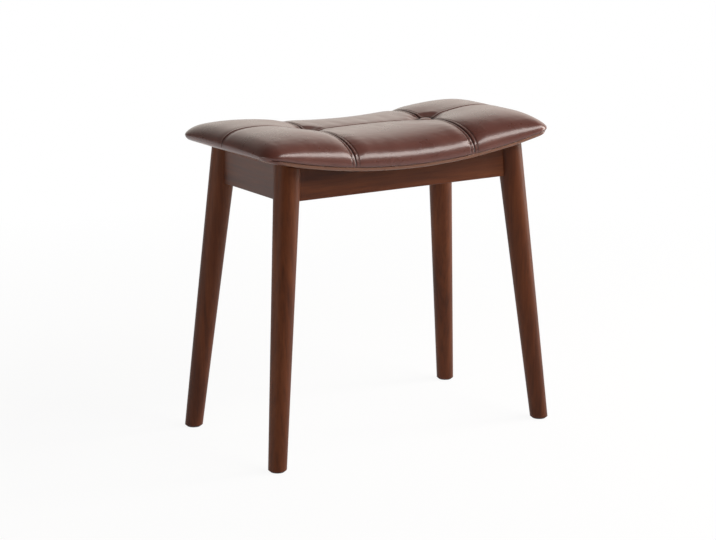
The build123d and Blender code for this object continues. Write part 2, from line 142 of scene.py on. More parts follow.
def ramp(material, factor, *stops):
    """Colour ramp through stops of (place, colour)."""
    node = add_node(material, "ShaderNodeValToRGB", Fac=factor)
    points = node.color_ramp.elements
    while len(points) < len(stops):
        points.new(0.5)
    for point, (place, colour) in zip(points, stops):
        point.position = place
        point.color = (*colour, 1)
    return node.outputs["Color"]


def mix(material, share, first, second, way="MIX"):
    """Two colours mixed by share; the colours' own sockets are the seventh and the eighth."""
    node = add_node(material, "ShaderNodeMix", {"data_type": "RGBA", "blend_type": way})
    for number, value in ((0, share), (6, first), (7, second)):
        connect(material.node_tree, value, node.inputs[number])
    return node.outputs[2]


def spread(material, value, low, high):
    """A 0 to 1 value spread between low and high."""
    node = add_node(material, "ShaderNodeMapRange", Value=value, To_Min=low, To_Max=high)
    return node.outputs["Result"]


def set_colour(material, colour):
    connect(material.node_tree, colour, shader_of(material).inputs["Base Color"])


def set_roughness(material, pattern, low, high):
    """Roughness that follows a pattern between low and high."""
    connect(material.node_tree, spread(material, pattern, low, high), shader_of(material).inputs["Roughness"])


def set_bump(material, pattern, strength, distance):
    """Fine relief that follows a pattern."""
    bump = add_node(material, "ShaderNodeBump", Height=pattern, Strength=strength, Distance=distance)
    connect(material.node_tree, bump.outputs["Normal"], shader_of(material).inputs["Normal"])


def wood(name, grain_scale, colours, roughness, pore_share=0.72, **constants):
    """Planed wood whose grain runs along the axis with the small scale; colours from dark to light."""
    material = material_named(name, roughness[0], **constants)
    along = object_place(material, grain_scale)
    figure = noise(material, along, 34, 7, Roughness=0.62, Distortion=0.7)
    fibre = noise(material, along, 260, 5, Roughness=0.7)
    places = (0.30, 0.52, 0.74)
    body = ramp(material, figure, *zip(places, colours))
    pores = ramp(material, fibre, (0.36, (pore_share,) * 3), (0.56, (1, 1, 1)))
    set_colour(material, mix(material, 1, body, pores, "MULTIPLY"))
    set_roughness(material, fibre, *roughness)
    set_bump(material, fibre, 0.22, 0.0003)
    return material


def shade(mesh, degrees):
    """Smooth shading everywhere but over edges that turn by more than some degrees."""
    shaped = bmesh.new()
    shaped.from_mesh(mesh)
    for face in shaped.faces:
        face.smooth = True
    for edge in shaped.edges:
        edge.smooth = edge.is_manifold and edge.calc_face_angle(0) < math.radians(degrees)
    shaped.to_mesh(mesh)
    shaped.free()


def piece(name, points, faces, material, slot, crease=35):
    """New mesh piece on the stool's one body, dressed in a material."""
    mesh = bpy.data.meshes.new(name)
    mesh.from_pydata([tuple(point) for point in points], [], faces)
    mesh.materials.append(material)
    shade(mesh, crease)
    new = bpy.data.objects.new(name, mesh)
    scene.collection.objects.link(new)
    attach(new, "root")
    return new


def dress(node, material):
    """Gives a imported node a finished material."""
    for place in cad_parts[node].material_slots:
        place.material = material


def lathe(rings, facets, place):
    """Points and faces of a closed turning through rings of (along, radius); place puts a point."""
    turns = [2 * math.pi * i / facets for i in range(facets)]
    points = [place(along, r * math.cos(a), r * math.sin(a)) for along, r in rings for a in turns]
    faces = []
    for ring in range(len(rings) - 1):
        for i in range(facets):
            j = (i + 1) % facets
            low, high = ring * facets, (ring + 1) * facets
            faces.append((low + i, low + j, high + j, high + i))
    faces.append(tuple(range(facets))[::-1])
    faces.append(tuple(range(len(points) - facets, len(points))))
    return points, faces


walnut_upright = wood("walnut_upright", (1, 1, 0.06), walnut_colours, walnut_roughness, **walnut_gloss)
leg_corners = {"front_left": (-1, -1), "front_right": (1, -1), "back_left": (-1, 1), "back_right": (1, 1)}
leg_rings = [
    (0, foot_diameter / 2 - foot_edge),
    (foot_edge, foot_diameter / 2),
    (leg_length - foot_edge, top_diameter / 2),
    (leg_length, top_diameter / 2 - foot_edge),
]


def turned_leg(name, sx, sy):
    """One leg of the stool, turned on its leaning axis."""
    foot = Vector((sx * foot_spacing[0] / 2, sy * foot_spacing[1] / 2, 0))
    axis = Vector((-sx * math.tan(splay[0]), -sy * math.tan(splay[1]), 1)).normalized()
    side = axis.cross(Vector((0, 1, 0))).normalized()
    front = axis.cross(side)

    def on_leg(along, a, b):
        """A point of the leg, slid along its axis onto the foot's level or the seat's curve."""
        point = foot + axis * along + side * a + front * b
        if along < foot_edge * 2:
            point += axis * (glide_top + along - point.z) / axis.z
        if along > leg_length / 2:
            top = float(edge_height(point.x)) - frame_drop - (leg_length - along)
            point += axis * (top - point.z) / axis.z
        return point

    leg = piece(f"turned_leg_{name}", *lathe(leg_rings, leg_facets, on_leg), walnut_upright, "walnut")
    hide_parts(f"leg_{name}")


for name, (sx, sy) in leg_corners.items():
    turned_leg(name, sx, sy)


# Glides: black nylon discs under the feet, moulded in one with a short pin that is driven up into
# the leg. Their skin is matt.
nylon = material_named("nylon", 0.55)
speckle = noise(nylon, object_place(nylon), 700, 3)
set_colour(nylon, ramp(nylon, speckle, (0.3, (0.02,) * 3), (0.7, (0.035,) * 3)))
set_roughness(nylon, speckle, 0.45, 0.65)
for name in leg_corners:
    dress(f"foot_glide_{name}", nylon)


# Rails: four low aprons of the same walnut, their shoulders scribed to the round legs and their
# top edges cut to the seat's curve. The grain runs along each rail.
end_gloss = {"coat_weight": 0.22, "coat_roughness": 0.32, "specular_ior_level": 0.42}
walnut_long = wood("walnut_long", (0.06, 1, 1), walnut_colours, walnut_roughness, **walnut_gloss)
walnut_across = wood("walnut_across", (1, 0.06, 1), walnut_colours, walnut_roughness, **end_gloss)
for name in ("front_rail", "back_rail"):
    dress(name, walnut_long)
for name in ("left_rail", "right_rail"):
    dress(name, walnut_across)


# Corner blocks: clipped triangles of bare planed beech, one in each corner of the frame, screwed to
# both rails and bored for a seat bolt.
beech_colours = ((0.36, 0.21, 0.11), (0.50, 0.32, 0.18), (0.60, 0.42, 0.26))
beech = wood("beech", (0.3, 0.3, 1), beech_colours, (0.55, 0.7), pore_share=0.8)
for name in leg_corners:
    dress(f"corner_block_{name}", beech)


# Seat bolts, washers and block screws: steel with a bright zinc plate. The bolts run up through the
# blocks into turned brass inserts in the board.
zinc = material_named("zinc_plated_steel", 0.3, metallic=1.0)
cloud = noise(zinc, object_place(zinc), 240, 4)
set_colour(zinc, ramp(zinc, cloud, (0.3, (0.50, 0.50, 0.47)), (0.7, (0.66, 0.66, 0.64))))
set_roughness(zinc, cloud, 0.24, 0.42)
for name in ("seat_bolts", "seat_bolt_washers", "corner_block_screws"):
    dress(name, zinc)
brass = material_named("brass", 0.3, metallic=1.0)
tarnish = noise(brass, object_place(brass), 300, 4)
set_colour(brass, ramp(brass, tarnish, (0.3, (0.60, 0.42, 0.16)), (0.7, (0.78, 0.58, 0.26))))
set_roughness(brass, tarnish, 0.25, 0.45)
dress("threaded_inserts", brass)


# Seat board: bent plywood under the pad, its grain running along the seat. Leather covers its edges
# and the dust cover its underside.
plywood = material_named("plywood", 0.6)
ply_grain = noise(plywood, object_place(plywood, (0.08, 1, 1)), 120, 5)
set_colour(plywood, ramp(plywood, ply_grain, (0.3, (0.42, 0.28, 0.16)), (0.7, (0.62, 0.47, 0.30))))
set_roughness(plywood, ply_grain, 0.5, 0.7)
dress("seat_board", plywood)


# Seat cushion: a firm foam pad under six panels of dark oxblood leather. One seam runs along the
# seat and one crosses it at each end panel; two covered buttons pull the crossings down, and the
# leather is drawn round the board's edge and turned in under it.
nose_height = 0.0086
nose_droop = 0.0026
crown = 0.0468
corner_radius = 0.024
end_shoulder = 0.118
side_shoulder = 0.086
side_power = 2.3
overhang = np.array([0.0075, 0.010])
seam_x = 0.097
dimple_reach = 0.046
dimple_depth = 0.0056
tuft_reach = 0.026
tuft_depth = 0.0048
cross_valley = (0.0008, 0.0026)
cross_reach = 0.012
long_valley = 0.0009
long_reach = 0.008
seam_cut = 0.0015
seam_cut_width = 0.0011
seam_lip = 0.00045
crease_offset = 0.0054
crease_cut = 0.0008
roll_start, roll_end = 0.62, 0.86
button_radius = 0.010
button_shade_width = 0.0048
board_low = 0.0018
board_high = 0.0108
leather_thickness = 0.0015
cover_margin = 0.024
board_clearance = 0.0003
least_corner = 0.004

half_length = seat_high.x
half_depth = seat_high.y


def stations(*stops, fine_steps=4000):
    """Places from the first stop to the last, spaced as the stops of (place, spacing) say."""
    places = np.linspace(stops[0][0], stops[-1][0], fine_steps)
    closeness = 1 / np.interp(places, *zip(*stops))
    steps = np.diff(places) * (closeness[1:] + closeness[:-1]) / 2
    counted = np.concatenate([[0], np.cumsum(steps)])
    return np.interp(np.linspace(0, counted[-1], round(counted[-1]) + 1), counted, places)


def mirrored(half):
    """Places from the middle outwards, and the same ones to the other side."""
    return np.concatenate([-half[:0:-1], half])


seam_spacing = 0.00045
edge_spacing = 0.00002
to_seam = stations((0, 0.003), (0.080, 0.0026), (0.090, 0.0008), (seam_x, seam_spacing))
to_end = stations(
    (seam_x, seam_spacing),
    (0.104, 0.0008),
    (0.114, 0.0026),
    (0.205, 0.0022),
    (0.226, 0.0009),
    (half_length, edge_spacing),
)
to_side = stations(
    (0, seam_spacing),
    (0.006, 0.0008),
    (0.016, 0.0026),
    (0.080, 0.0024),
    (0.110, 0.0010),
    (half_depth, edge_spacing),
)
x_places = mirrored(np.concatenate([to_seam, to_end[1:]]))
y_shares = mirrored(to_side / half_depth)


def side_line(x):
    """Half the cushion's depth at x, round its corners."""
    past = np.clip(np.abs(x) - half_length + corner_radius, 0, corner_radius)
    return half_depth - corner_radius + np.sqrt(corner_radius**2 - past**2)


def hump(distance, reach, power):
    """Share of the full height at a distance in from an edge: none at the edge, all past its reach."""
    share = np.clip(distance / reach, 0, 1)
    return (1 - (1 - share) ** power) ** (1 / power)


def soft_step(value, low, high):
    """Smooth rise from 0 at low to 1 at high."""
    share = np.clip((value - low) / (high - low), 0, 1)
    return share * share * (3 - 2 * share)


def nose(x):
    """Height of the cushion's widest line over the seat's curve, a little lower at the ends."""
    return nose_height - nose_droop * soft_step(np.abs(x), half_length - corner_radius, half_length)


def resting_height(x, y):
    """The pad's top before it is sewn and tufted."""
    ends = hump(half_length - np.abs(x), end_shoulder, 2)
    sides = hump(side_line(x) - np.abs(y), side_shoulder, side_power)
    return edge_height(x) + nose(x) + (crown - nose(x)) * ends * sides


def ripples(x, y, size, seed, waves=9):
    """Smooth random unevenness about as large as size, from -1 to 1."""
    draw = np.random.default_rng(seed)
    total = 0
    for _ in range(waves):
        turn = draw.uniform(0, math.tau)
        phase = draw.uniform(0, math.tau)
        stretch = draw.uniform(0.7, 1.6)
        along = x * math.cos(turn) + y * math.sin(turn)
        total = total + np.sin(math.tau * along / (size * stretch) + phase)
    return total / waves**0.5 / 1.5


def sewn_in(x, y):
    """How far seams, topstitched creases and tufts draw the leather in, and their painted shade."""
    cross = np.abs(np.abs(x) - seam_x)
    to_tuft = np.hypot(np.abs(x) - seam_x, y)
    edge_share = np.abs(y) / side_line(x)
    roll = soft_step(edge_share, roll_start, roll_end)
    dimple = dimple_depth * np.exp(-((to_tuft / dimple_reach) ** 2))
    tuft = np.clip(1 - (to_tuft / tuft_reach) ** 2, 0, 1) ** 1.2
    deeper = soft_step(edge_share, 0.2, 0.7)
    cross_depth = cross_valley[0] + (cross_valley[1] - cross_valley[0]) * deeper
    valley = cross_depth * np.exp(-((cross / cross_reach) ** 2))
    valley = valley + long_valley * np.exp(-((y / long_reach) ** 2))
    cut = seam_cut * (np.exp(-((cross / seam_cut_width) ** 2)) + np.exp(-((y / seam_cut_width) ** 2)))
    lip_place = 2.3 * seam_cut_width
    cross_lips = np.exp(-(((cross - lip_place) / seam_cut_width) ** 2)) * (1 - roll)
    long_lips = np.exp(-(((np.abs(y) - lip_place) / seam_cut_width) ** 2))
    lips = seam_lip * (cross_lips + long_lips)
    creased = (0.3 + 0.7 * roll) * soft_step(edge_share, 0.10, 0.22)
    creases = crease_cut * creased * np.exp(-(((cross - crease_offset) / seam_cut_width) ** 2))
    sunk = dimple + tuft_depth * tuft + (valley - lips) * (1 - tuft) + cut + creases
    # A ring of painted shade round each button stands for the shade on the far wall of its tuft.
    button_shade = 0.9 * np.exp(-(((to_tuft - button_radius) / button_shade_width) ** 2))
    return sunk, np.clip((cut + creases) / seam_cut + button_shade, 0, 1)


pleats_round = 9
pleat_height = 0.00022
pleat_place = 0.020
pleat_reach = 0.012
pucker_height = 0.00036
pucker_reach = 0.011
roll_wave_height = 0.00012
top_wave_height = 0.00010
crackle_height = 0.00005


def unevenness(x, y):
    """Pull wrinkles round the tufts, puckers beside the cross seams and the roll's slight waves."""
    cross = np.abs(x) - seam_x
    to_tuft = np.hypot(cross, y)
    turn = np.arctan2(y, cross)
    roll = soft_step(np.abs(y) / side_line(x), 0.55, 0.85)
    pleats = pleat_height * np.cos(pleats_round * turn + 2 * ripples(x, y, 0.05, 3))
    pleats = pleats * np.exp(-(((to_tuft - pleat_place) / pleat_reach) ** 2))
    near_seam = np.exp(-((cross / pucker_reach) ** 2))
    puckers = pucker_height * roll * near_seam * ripples(x * 0.35, y, 0.0055, 5)
    roll_waves = roll_wave_height * roll * ripples(x, y * 0.4, 0.022, 7)
    top_waves = top_wave_height * ripples(x, y, 0.06, 11)
    crackle = crackle_height * roll * ripples(x, y, 0.007, 13)
    return pleats + puckers + (roll_waves + top_waves) + crackle


cloth_spacing = 0.006
cloth_pressure = 4.0
cloth_frames = 20
most_movement = 0.0011


def sewn_spots(x, y):
    """Where the leather is held while the pad presses on it: the nose, the seams and the tufts."""
    near = cloth_spacing * 0.4
    at_nose = (np.abs(x) > half_length - near) | (side_line(x) - np.abs(y) < near)
    at_seam = (np.abs(np.abs(x) - seam_x) < near) | (np.abs(y) < near)
    return at_nose | at_seam | (np.hypot(np.abs(x) - seam_x, y) < tuft_reach * 0.5)


def pressed_out(wide_x, wide_shares):
    """How far the pad's pressure moves each point of a wide grid of sewn leather."""
    x, share = np.meshgrid(wide_x, wide_shares, indexing="ij")
    y = share * side_line(x)
    start = np.stack([x, y, resting_height(x, y)], axis=-1).reshape(-1, 3)
    rows = len(wide_shares)
    quads = [
        (i * rows + j, (i + 1) * rows + j, (i + 1) * rows + j + 1, i * rows + j + 1)
        for i in range(len(wide_x) - 1)
        for j in range(rows - 1)
    ]
    mesh = bpy.data.meshes.new("pressed_leather")
    mesh.from_pydata(start.tolist(), [], quads)
    trial = bpy.data.objects.new("pressed_leather", mesh)
    scene.collection.objects.link(trial)
    held = trial.vertex_groups.new(name="sewn")
    held.add([int(k) for k in np.flatnonzero(sewn_spots(start[:, 0], start[:, 1]))], 1.0, "REPLACE")
    pad = trial.modifiers.new("pad", "CLOTH")
    pad.settings.quality = 6
    pad.settings.mass = 0.05
    pad.settings.tension_stiffness = 40
    pad.settings.compression_stiffness = 40
    pad.settings.shear_stiffness = 20
    pad.settings.bending_stiffness = 6
    pad.settings.use_pressure = True
    pad.settings.uniform_pressure_force = cloth_pressure
    pad.settings.vertex_group_mass = "sewn"
    pad.settings.effector_weights.gravity = 0
    pad.point_cache.frame_start = 1
    pad.point_cache.frame_end = cloth_frames
    for number in range(1, cloth_frames + 1):
        scene.frame_set(number)
    result = trial.evaluated_get(bpy.context.evaluated_depsgraph_get()).to_mesh()
    ended = np.empty(len(start) * 3, dtype=np.float32)
    result.vertices.foreach_get("co", ended)
    moved = ended.reshape(-1, 3) - start
    trial.modifiers.remove(pad)
    bpy.data.objects.remove(trial)
    bpy.data.meshes.remove(mesh)
    scene.frame_set(1)
    far = np.linalg.norm(moved, axis=1, keepdims=True)
    moved *= most_movement / np.maximum(most_movement, far)
    return moved.reshape(len(wide_x), rows, 3)


def spline_weights(known, wanted):
    """Weights that carry values at known places to the wanted ones along natural cubic splines."""
    count = len(known)
    gap = np.diff(known)
    bends = np.eye(count)
    values = np.zeros((count, count))
    for i in range(1, count - 1):
        bends[i, i - 1 : i + 2] = gap[i - 1], 2 * (gap[i - 1] + gap[i]), gap[i]
        values[i, i - 1 : i + 2] = 6 / gap[i - 1], -6 / gap[i - 1] - 6 / gap[i], 6 / gap[i]
    second = np.linalg.solve(bends, values)
    at = np.clip(np.searchsorted(known, wanted) - 1, 0, count - 2)
    after = (wanted - known[at]) / gap[at]
    before = 1 - after
    weights = before[:, None] * np.eye(count)[at] + after[:, None] * np.eye(count)[at + 1]
    square = (gap[at] ** 2 / 6)[:, None]
    low_bend = (before**3 - before)[:, None] * second[at]
    high_bend = (after**3 - after)[:, None] * second[at + 1]
    return weights + square * (low_bend + high_bend)


grid_x, share_y = np.meshgrid(x_places, y_shares, indexing="ij")
grid_y = share_y * side_line(grid_x)
surface = np.stack([grid_x, grid_y, resting_height(grid_x, grid_y)], axis=-1)
across_x = np.gradient(surface, axis=0)
across_y = np.gradient(surface, axis=1)
outward = np.cross(across_x, across_y)
outward /= np.linalg.norm(outward, axis=-1, keepdims=True) + 1e-12
sunk, crease_shade = sewn_in(grid_x, grid_y)
lift = unevenness(grid_x, grid_y) - sunk
wide_to_seam = stations((0, cloth_spacing), (seam_x, cloth_spacing))
wide_to_end = stations((seam_x, cloth_spacing), (half_length, cloth_spacing))
wide_x = mirrored(np.concatenate([wide_to_seam, wide_to_end[1:]]))
wide_shares = mirrored(stations((0, cloth_spacing), (half_depth, cloth_spacing)) / half_depth)
pressed_by = pressed_out(wide_x, wide_shares)
along = spline_weights(wide_x, x_places)
across = spline_weights(wide_shares, y_shares)
carried = np.einsum("ia,abk,jb->ijk", along, pressed_by, across)
lift = lift + (carried * outward).sum(axis=-1)
nose_lift_share = 0.35
end_fade_reach = 0.03
side_fade_reach = 0.02
end_fade = hump(half_length - np.abs(grid_x), end_fade_reach, 2)
side_fade = hump(side_line(grid_x) - np.abs(grid_y), side_fade_reach, 2)
lift = lift * (nose_lift_share + (1 - nose_lift_share) * (end_fade * side_fade))
surface = surface + outward * lift[..., None]

# The cushion's rim: from the nose the leather rolls in to a pulled crease, covers the board's edge
# as a narrow band and turns in under the board. The pad is hollow where the board lies. Each row
# says how far in a ring lies and how high, as shares of the overhang and of the nose's height.
rim_at_sides = [
    (0.02, 0.92),
    (0.06, 0.84),
    (0.12, 0.78),
    (0.19, 0.74),
    (0.25, 0.72),
    (0.28, 0.70),
    (0.26, 0.67),
    (0.215, 0.64),
    (0.20, 0.58),
    (0.20, 0.48),
    (0.21, 0.38),
    (0.24, 0.28),
    (0.30, 0.19),
    (0.40, 0.12),
    (0.56, 0.06),
    (0.78, 0.02),
    (1.0, 0.0),
]
rim_turns = np.linspace(0, math.pi / 2, len(rim_at_sides) + 1)[1:]
rim_at_ends = [(1 - math.cos(turn), 1 - math.sin(turn)) for turn in rim_turns]
nx = len(x_places)
ny = len(y_shares)
loop = [(i, 0) for i in range(nx)] + [(nx - 1, j) for j in range(1, ny)]
loop += [(i, ny - 1) for i in range(nx - 2, -1, -1)] + [(0, j) for j in range(ny - 2, 0, -1)]
loop_i, loop_j = np.array(loop).T
rim_start = np.stack([grid_x, grid_y], axis=-1)[loop_i, loop_j]
core = np.array([half_length - corner_radius, half_depth - corner_radius])
nearest = np.clip(rim_start, -core, core)
away = rim_start - nearest
away /= np.linalg.norm(away, axis=-1, keepdims=True)
drawn_in = np.linalg.norm(surface[loop_i, loop_j, :2] - rim_start, axis=-1)
at_side = soft_step(np.abs(away[:, 1]), 0.35, 0.95)


def rim_ring(inset, height, follow=0.0, concentric=False):
    """Ring round the cushion, inset at the ends and the sides, at heights over the seat's curve."""
    inset = np.asarray(inset, dtype=float)
    corner = np.maximum(corner_radius - inset.mean(axis=-1), least_corner).reshape(-1, 1)
    half = np.array([half_length, half_depth]) - inset
    place = nearest * (half - corner) / core + away * (corner - drawn_in[:, None] * follow)
    if concentric:
        z = edge_height(place[:, 0], height)
    else:
        z = edge_height(place[:, 0]) + height
    return np.column_stack([place, z])


rings = []
for at_sides, at_ends in zip(rim_at_sides, rim_at_ends):
    inset_share, height_share = (at_side * a + (1 - at_side) * b for a, b in zip(at_sides, at_ends))
    # The first rings follow the top where its seams are drawn in, the lower ones lie even.
    follow = max(1 - at_sides[0] * 3, 0)
    rings.append(rim_ring(overhang * inset_share[:, None], nose(rim_start[:, 0]) * height_share, follow))
turned_in = overhang + cover_margin
board_edge = overhang + board_low - board_clearance
rings.append(rim_ring(turned_in, 0))
rings.append(rim_ring(turned_in, leather_thickness))
rings.append(rim_ring(board_edge, leather_thickness))
rings.append(rim_ring(board_edge, board_high + board_clearance, concentric=True))

points = list(surface.reshape(-1, 3)) + [point for ring in rings for point in ring]
faces = []
for i in range(nx - 1):
    for j in range(ny - 1):
        faces.append((i * ny + j, (i + 1) * ny + j, (i + 1) * ny + j + 1, i * ny + j + 1))
count = len(loop)
loop_index = [i * ny + j for i, j in loop]
for number in range(len(rings)):
    upper = loop_index if number == 0 else [nx * ny + (number - 1) * count + k for k in range(count)]
    lower = [nx * ny + number * count + k for k in range(count)]
    for k in range(count):
        n = (k + 1) % count
        faces.append((upper[k], lower[k], lower[n], upper[n]))
last = nx * ny + (len(rings) - 1) * count
front = [last + k for k in range(nx)]
back = [last + nx - 1 + ny - 1 + k for k in range(nx)][::-1]
right_end = [last + nx - 1 + k for k in range(ny)]
left_end = [last + (2 * nx + ny - 3 + k) % count for k in range(ny)]
for i in range(1, nx - 2):
    faces.append((front[i], back[i], back[i + 1], front[i + 1]))
faces.append((front[-2], back[-2], *right_end[::-1]))
faces.append((back[1], front[1], *left_end[::-1]))

skin_colours = ((0.098, 0.034, 0.026), (0.113, 0.040, 0.031), (0.134, 0.049, 0.038))
# Painted reflection: a paler tan on the band over the board's edge, standing in for warm light reflected from
# below.
band_reflection_colour = (0.170, 0.068, 0.034, 1)
# Painted shade: near black mixed into the leather's colour in the seams, the creases and round the buttons,
# which are also rougher there.
crease_shade_colour = (0.012, 0.005, 0.005, 1)
leather_gloss = {"coat_weight": 0.12, "coat_roughness": 0.14, "specular_ior_level": 0.42}
leather = material_named("oxblood_leather", 0.3, **leather_gloss)
leather_place = object_place(leather)
grain = add_node(leather, "ShaderNodeTexVoronoi", Vector=leather_place, Scale=720).outputs["Distance"]
mottle = noise(leather, leather_place, 26, 4, Roughness=0.55)
band_reflection = add_node(leather, "ShaderNodeAttribute", {"attribute_name": "band_reflection"}).outputs["Fac"]
crease_shade_mask = add_node(leather, "ShaderNodeAttribute", {"attribute_name": "crease_shade"}).outputs["Fac"]
plain_skin = ramp(leather, mottle, *zip((0.28, 0.5, 0.74), skin_colours))
reflection_lit_skin = mix(leather, band_reflection, plain_skin, band_reflection_colour)
set_colour(leather, mix(leather, crease_shade_mask, reflection_lit_skin, crease_shade_colour))
set_roughness(leather, crease_shade_mask, spread(leather, mottle, 0.23, 0.34), 0.8)
set_bump(leather, grain, 0.07, 0.0004)

# Where the painted reflection lies: the lower rings of the rim round the board's edge.
side_band_top = 0.7
end_band_top = 0.25
band_fade = (0.195, 0.225)
band_share = at_side * (1 - soft_step(np.abs(rim_start[:, 0]), *band_fade))
crease_shade_values = np.zeros(len(points), dtype=np.float32)
crease_shade_values[: nx * ny] = crease_shade.reshape(-1)
band_reflection_values = np.zeros(len(points), dtype=np.float32)
for number, (at_sides, at_ends) in enumerate(zip(rim_at_sides, rim_at_ends)):
    first = nx * ny + number * count
    side_band = band_share * (at_sides[1] < side_band_top)
    end_band = (1 - at_side) * (at_ends[1] < end_band_top)
    band_reflection_values[first : first + count] = side_band + end_band

cushion = piece("leather_cushion", points, faces, leather, "oxblood_leather", crease=60)
for name, values in {"crease_shade": crease_shade_values, "band_reflection": band_reflection_values}.items():
    cushion.data.attributes.new(name, "FLOAT", "POINT").data.foreach_set("value", values)
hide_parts("seat_cover", "seat_foam")


# Topstitching: waxed brown thread in the two creases beside each cross seam, from the tuft out over
# the front and the back roll. Each stitch is a short loop that dives into the leather at both ends.
stitch_spacing = 0.0042
stitch_length = 0.0032
thread_width = 0.0006
stitch_height = 0.0005
first_share = 0.17
last_share = 0.998
line_points = 500


def path_mesh(name, lines):
    """Mesh of polylines, each a pair of points and of the outward directions at them."""
    points = np.concatenate([line[0] for line in lines])
    outwards = np.concatenate([line[1] for line in lines])
    edges = []
    start = 0
    for places, _ in lines:
        edges += [(start + k, start + k + 1) for k in range(len(places) - 1)]
        start += len(places)
    mesh = bpy.data.meshes.new(name)
    mesh.from_pydata(points.tolist(), edges, [])
    stored = mesh.attributes.new("outward", "FLOAT_VECTOR", "POINT")
    stored.data.foreach_set("vector", outwards.astype(np.float32).reshape(-1))
    return mesh


def loops_along_path():
    """Geometry Nodes tree that sets bent wire loops along polylines, square to their outward side."""
    tree = bpy.data.node_groups.new("loops_along_path", "GeometryNodeTree")
    tree.interface.new_socket("Path", in_out="INPUT", socket_type="NodeSocketGeometry")
    for size in ("Spacing", "Length", "Width", "Height"):
        tree.interface.new_socket(size, in_out="INPUT", socket_type="NodeSocketFloat")
    tree.interface.new_socket("Material", in_out="INPUT", socket_type="NodeSocketMaterial")
    tree.interface.new_socket("Loops", in_out="OUTPUT", socket_type="NodeSocketGeometry")
    given = tree.nodes.new("NodeGroupInput").outputs

    def new(kind, settings=None, **inputs):
        """The first output of a new node."""
        return new_node(tree, kind, settings, **inputs).outputs[0]

    curve = new("GeometryNodeMeshToCurve", Mesh=given["Path"])
    spots = new("GeometryNodeResampleCurve", {"mode": "LENGTH"}, Curve=curve, Length=given["Spacing"])
    wire = new(
        "GeometryNodeCurvePrimitiveBezierSegment",
        Resolution=6,
        Start=(-0.5, 0, -1),
        Start_Handle=(-0.47, 0, 1),
        End_Handle=(0.47, 0, 1),
        End=(0.5, 0, -1),
    )
    ring = new("GeometryNodeCurvePrimitiveCircle", Resolution=6, Radius=0.5)
    size = new("ShaderNodeCombineXYZ", X=given["Length"], Y=given["Width"], Z=given["Height"])
    bent = new("GeometryNodeTransform", Geometry=wire, Scale=size)
    thickness = new("ShaderNodeCombineXYZ", X=given["Width"], Y=given["Width"], Z=given["Width"])
    section = new("GeometryNodeTransform", Geometry=ring, Scale=thickness)
    loop = new("GeometryNodeCurveToMesh", Curve=bent, Profile_Curve=section, Fill_Caps=True)
    tangent = new("GeometryNodeInputTangent")
    outward_side = new("GeometryNodeInputNamedAttribute", {"data_type": "FLOAT_VECTOR"}, Name="outward")
    along = new("FunctionNodeAlignRotationToVector", {"axis": "X"}, Vector=tangent)
    upright = new(
        "FunctionNodeAlignRotationToVector",
        {"axis": "Z", "pivot_axis": "X"},
        Rotation=along,
        Vector=outward_side,
    )
    set_out = new("GeometryNodeInstanceOnPoints", Points=spots, Instance=loop, Rotation=upright)
    solid = new("GeometryNodeRealizeInstances", Geometry=set_out)
    smooth = new("GeometryNodeSetShadeSmooth", Geometry=solid)
    finished = new("GeometryNodeSetMaterial", Geometry=smooth, Material=given["Material"])
    tree.links.new(finished, tree.nodes.new("NodeGroupOutput").inputs["Loops"])
    return tree


loop_tree = loops_along_path()


def loops(name, path, material, slot, **sizes):
    """New piece of wire or thread loops set along a path mesh."""
    carrier = bpy.data.objects.new(f"{name}_path", path)
    scene.collection.objects.link(carrier)
    modifier = carrier.modifiers.new("loops", "NODES")
    modifier.node_group = loop_tree
    identifiers = {item.name: item.identifier for item in loop_tree.interface.items_tree}
    for size, value in sizes.items():
        modifier[identifiers[size.title()]] = value
    modifier[identifiers["Material"]] = material
    graph = bpy.context.evaluated_depsgraph_get()
    mesh = bpy.data.meshes.new_from_object(carrier.evaluated_get(graph), depsgraph=graph)
    mesh.name = name
    carrier.modifiers.remove(modifier)
    bpy.data.objects.remove(carrier)
    new = bpy.data.objects.new(name, mesh)
    scene.collection.objects.link(new)
    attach(new, "root")


def surface_line(x, shares):
    """Points of the sewn leather and the outward directions at them, along a line across the seat."""
    column = np.interp(x, x_places, np.arange(nx))
    row = np.interp(shares, y_shares, np.arange(ny))
    i, j = int(column), row.astype(int)
    a, b = column - i, (row - j)[:, None]
    line = []
    for field in (surface, outward):
        near = field[i, j] * (1 - a) + field[i + 1, j] * a
        far = field[i, j + 1] * (1 - a) + field[i + 1, j + 1] * a
        line.append(near * (1 - b) + far * b)
    return line


def twisted(name, roughness, scale, distortion, dark, light):
    """Material of twisted yarn, in bands from dark to light."""
    material = material_named(name, roughness)
    place = object_place(material)
    lay = add_node(material, "ShaderNodeTexWave", Vector=place, Scale=scale, Distortion=distortion)
    set_colour(material, ramp(material, lay.outputs["Fac"], (0.2, dark), (0.8, light)))
    return material


thread = twisted("stitching_thread", 0.5, 600, 1, (0.095, 0.038, 0.028), (0.185, 0.080, 0.058))
line_shares = np.linspace(first_share, last_share, line_points)
stitch_lines = []
for seam in (-seam_x, seam_x):
    for aside in (-crease_offset, crease_offset):
        for turn in (-1, 1):
            stitch_lines.append(surface_line(seam + aside, turn * line_shares))
loops(
    "topstitching",
    path_mesh("stitch_paths", stitch_lines),
    thread,
    "waxed_twine",
    spacing=stitch_spacing,
    length=stitch_length,
    width=thread_width,
    height=stitch_height,
)


# Tufting buttons: domed shells covered with the same leather, set on the lines that run square to
# the seat's curve, and held down by waxed twine tied to nylon anchor discs.
button_sinking = 0.0040
button_rise = 0.00546
button_seat_height = 0.4346
button_facets = 64
button_rings = [
    (0.0, 0.0088),
    (0.0003, 0.0095),
    (0.0009, 0.0099),
    (0.0015, 0.0100),
    (0.0022, 0.0097),
    (0.0030, 0.0089),
    (0.0038, 0.0075),
    (0.0044, 0.0057),
    (0.0048, 0.0037),
    (0.0050, 0.0016),
    (0.0050, 0.0002),
]


